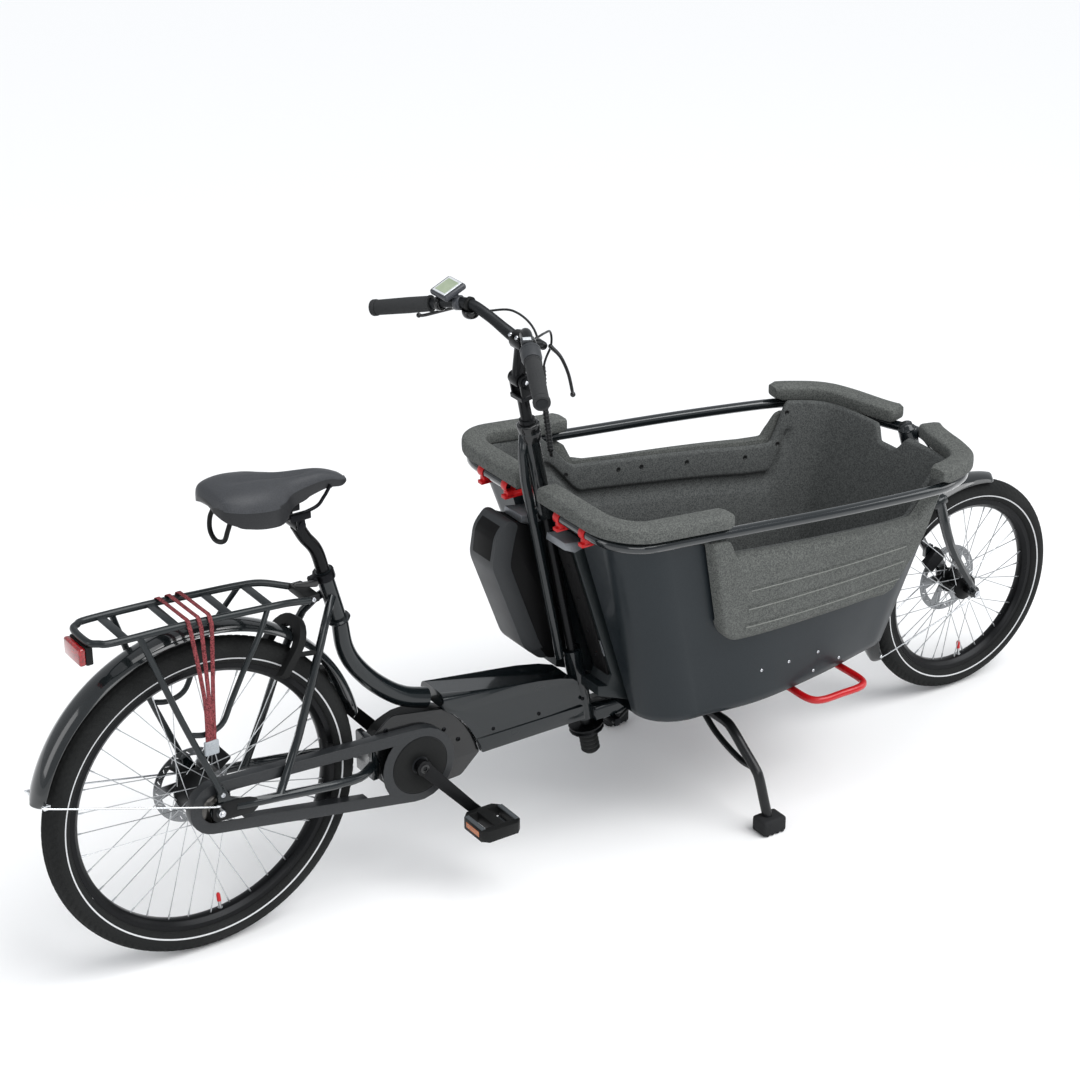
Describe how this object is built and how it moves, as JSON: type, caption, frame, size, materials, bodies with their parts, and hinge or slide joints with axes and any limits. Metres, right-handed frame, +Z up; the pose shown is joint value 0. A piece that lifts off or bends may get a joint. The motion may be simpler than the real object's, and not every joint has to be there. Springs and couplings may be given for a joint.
{
  "type": "electric cargo bike",
  "caption": "Front-loading electric cargo bike: spoked wheels, foam-lined box on a low frame, cable steering, mid motor, chain in a case, rack, stand.",
  "frame": {"origin": "on the ground, in the middle of the bike's length and width", "axes": "+X forward, +Y to the rider's left, +Z up"},
  "size_m": [2.5457, 0.642, 1.198],
  "materials": {
    "frame_paint": "gloss",
    "box_paint": "satin",
    "foam": "matt, speckled",
    "tyre_rubber": "matt",
    "soft_rubber": "matt",
    "black_plastic": "matt",
    "black_metal": "satin",
    "steel": "satin",
    "alloy": "satin",
    "red_metal": "satin",
    "red_lens": "gloss",
    "webbing": "woven",
    "saddle_cover": "matt"
  },
  "bodies": {
    "frame": {"main_tube": "frame_paint", "beam": "frame_paint", "rear_triangle": "frame_paint", "front_frame": "frame_paint", "steering_head": "frame_paint", "motor": "black_metal", "motor_cover": "black_plastic", "chain": "steel", "chain_case": "black_plastic", "rear_mudguard": "frame_paint", "rear_calliper": "black_metal", "rack": "black_metal", "rack_straps": "webbing", "tail_light": "red_lens", "ring_lock": "black_plastic", "seat_clamp": "black_metal", "steering_cables": "soft_rubber", "box_tub": "box_paint", "foam_liner": "foam", "side_panel_left": "box_paint", "side_panel_right": "box_paint", "rail": "black_metal", "step_left": "red_metal", "step_right": "red_metal", "battery": "black_plastic", "dock_left": "black_plastic", "dock_right": "black_plastic"},
    "rear_wheel": {"rear_tyre": "tyre_rubber", "rear_rim": "black_metal", "rear_hub": "alloy"},
    "rear_drive": {"rear_sprocket": "steel"},
    "crankset": {"chainring": "steel", "crank_right": "black_metal", "crank_left": "black_metal"},
    "right_pedal": {"pedal_right": "black_plastic"},
    "left_pedal": {"pedal_left": "black_plastic"},
    "column": {"steering_shaft": "black_metal", "steering_boot": "soft_rubber", "hose_bundle": "soft_rubber"},
    "bars": {"stem": "black_metal", "handlebar": "black_metal", "grip_left": "soft_rubber", "grip_right": "soft_rubber", "display": "black_plastic", "bell": "black_metal"},
    "shifter": {"twist_shifter": "black_plastic"},
    "left_brake_lever": {"brake_lever_left": "black_metal"},
    "right_brake_lever": {"brake_lever_right": "black_metal"},
    "bell_striker": {"bell_lever": "black_plastic"},
    "fork_assembly": {"fork": "frame_paint", "front_mudguard": "frame_paint", "front_calliper": "black_metal"},
    "front_wheel": {"front_tyre": "tyre_rubber", "front_rim": "black_metal", "front_hub": "alloy"},
    "seat": {"seatpost": "black_metal", "saddle": "saddle_cover", "saddle_rails": "black_metal"},
    "clamp_handle": {"clamp_lever": "black_metal"},
    "stand": {"stand": "black_metal"}
  },
  "joints": [
    {"name": "rear_wheel_spin", "type": "hinge", "parent": "frame", "child": "rear_wheel", "pos_m": [-0.92135, 0, 0.3345], "axis": [0, 1, 0], "continuous": true},
    {"name": "rear_sprocket_spin", "type": "hinge", "parent": "frame", "child": "rear_drive", "pos_m": [-0.92135, 0, 0.3345], "axis": [0, 1, 0], "continuous": true},
    {"name": "crank_spin", "type": "hinge", "parent": "frame", "child": "crankset", "pos_m": [-0.46485, 0, 0.283], "axis": [0, 1, 0], "continuous": true},
    {"name": "right_pedal_spin", "type": "hinge", "parent": "crankset", "child": "right_pedal", "pos_m": [-0.3566, 0, 0.15847], "axis": [0, 1, 0], "continuous": true},
    {"name": "left_pedal_spin", "type": "hinge", "parent": "crankset", "child": "left_pedal", "pos_m": [-0.5731, 0, 0.40753], "axis": [0, 1, 0], "continuous": true},
    {"name": "fork_steer", "type": "hinge", "parent": "frame", "child": "fork_assembly", "pos_m": [0.88303, 0, 0.543], "axis": [-0.309, 0, 0.9511], "range_deg": [-50, 50]},
    {"name": "column_steer", "type": "hinge", "parent": "frame", "child": "column", "pos_m": [-0.15927, 0, 0.934], "axis": [-0.1908, 0, 0.9816], "range_deg": [-50, 50]},
    {"name": "front_wheel_spin", "type": "hinge", "parent": "fork_assembly", "child": "front_wheel", "pos_m": [1.01745, 0, 0.2555], "axis": [0, 1, 0], "continuous": true},
    {"name": "stem_tilt", "type": "hinge", "parent": "column", "child": "bars", "pos_m": [-0.17871, 0, 1.034], "axis": [0, 1, 0], "range_deg": [-20, 30], "deforming": ["hose_bundle"]},
    {"name": "left_brake_pull", "type": "hinge", "parent": "bars", "child": "left_brake_lever", "pos_m": [-0.20685, 0.161, 1.144], "axis": [0.3505, 0.4188, 0.8377], "range_deg": [0, 20], "stiffness_Nm_per_rad": 0.6, "springref_deg": -8.59},
    {"name": "right_brake_pull", "type": "hinge", "parent": "bars", "child": "right_brake_lever", "pos_m": [-0.19435, -0.137, 1.1495], "axis": [-0.3505, 0.4188, -0.8377], "range_deg": [0, 20], "stiffness_Nm_per_rad": 0.6, "springref_deg": -8.59},
    {"name": "shifter_twist", "type": "hinge", "parent": "bars", "child": "shifter", "pos_m": [-0.25473, -0.156, 1.16167], "axis": [-0.4227, -0.8732, -0.2426], "range_deg": [-90, 90]},
    {"name": "bell_flick", "type": "hinge", "parent": "bars", "child": "bell_striker", "pos_m": [-0.20485, 0.094, 1.145], "axis": [0, 0, 1], "range_deg": [0, 25], "stiffness_Nm_per_rad": 0.01, "springref_deg": -17.19},
    {"name": "stand_fold", "type": "hinge", "parent": "frame", "child": "stand", "pos_m": [0.23865, 0, 0.205], "axis": [0, 1, 0], "range_deg": [0, 80]},
    {"name": "seatpost_slide", "type": "slide", "parent": "frame", "child": "seat", "axis": [-0.2588, 0, 0.9659], "range_m": [-0.018, 0.05]},
    {"name": "clamp_lever_open", "type": "hinge", "parent": "frame", "child": "clamp_handle", "pos_m": [-0.65913, -0.0205, 0.7277], "axis": [-0.2588, 0, 0.9659], "range_deg": [0, 110]}
  ],
  "couplings": [
    {"joint": "rear_sprocket_spin", "follows": "crank_spin", "ratio": 1.5455},
    {"joint": "column_steer", "follows": "fork_steer", "ratio": 1}
  ]
}
